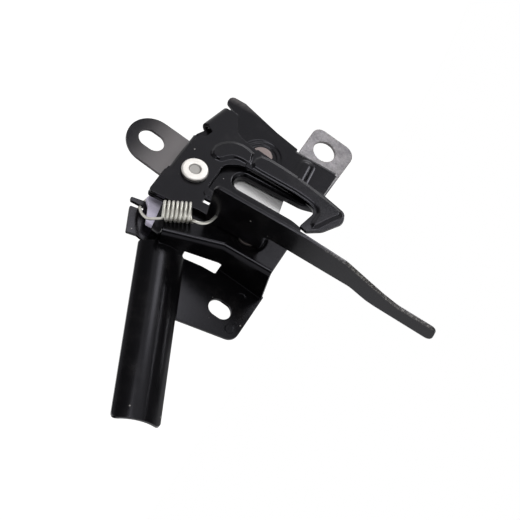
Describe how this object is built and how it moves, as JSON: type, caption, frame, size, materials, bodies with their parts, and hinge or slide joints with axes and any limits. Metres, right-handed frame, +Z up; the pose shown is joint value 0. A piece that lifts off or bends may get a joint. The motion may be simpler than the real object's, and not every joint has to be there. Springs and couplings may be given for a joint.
{
  "type": "bonnet latch",
  "caption": "Bonnet latch with slotted base plate, turning claw and pawl, sprung safety hook with a release lever, mounting ears and a half-round cable guard.",
  "frame": {"origin": "closed end of the striker slot, on the front of the main plate", "axes": "+Z up the striker slot towards its mouth, +X to the right seen from the front, +Y to the rear towards the panel"},
  "size_m": [0.1953, 0.0501, 0.1727],
  "materials": {
    "black_coat": "satin",
    "zinc_pale": "satin",
    "zinc_bright": "satin",
    "zinc_lilac": "satin",
    "rivet_grey": "satin",
    "spring_zinc": "satin"
  },
  "bodies": {
    "base": {"base_plate": "black_coat", "hook_rivet": "zinc_pale", "hook_washer": "zinc_pale", "claw_rivet": "rivet_grey", "claw_spacer": "rivet_grey", "pawl_rivet": "rivet_grey", "pawl_spacer": "rivet_grey", "hook_spring": "spring_zinc", "claw_spring": "spring_zinc", "pawl_spring": "spring_zinc"},
    "hook": {"safety_hook": "black_coat"},
    "claw": {"claw": "zinc_bright"},
    "pawl": {"pawl": "zinc_lilac"}
  },
  "joints": [
    {"name": "hook_swing", "type": "hinge", "parent": "base", "child": "hook", "pos_m": [0.011, 0, -0.0166], "axis": [0, -1, 0], "range_deg": [0, 18], "stiffness_Nm_per_rad": 0.8, "springref_deg": -14.32, "deforming": ["hook_spring"]},
    {"name": "claw_turn", "type": "hinge", "parent": "base", "child": "claw", "pos_m": [-0.0185, 0, 0.004], "axis": [0, 1, 0], "range_deg": [0, 72], "stiffness_Nm_per_rad": 0.15, "springref_deg": -28.65, "deforming": ["claw_spring"]},
    {"name": "pawl_swing", "type": "hinge", "parent": "base", "child": "pawl", "pos_m": [0.025, 0, 0.021], "axis": [0, -1, 0], "range_deg": [-6.5, 6], "stiffness_Nm_per_rad": 0.1, "deforming": ["pawl_spring"]}
  ]
}
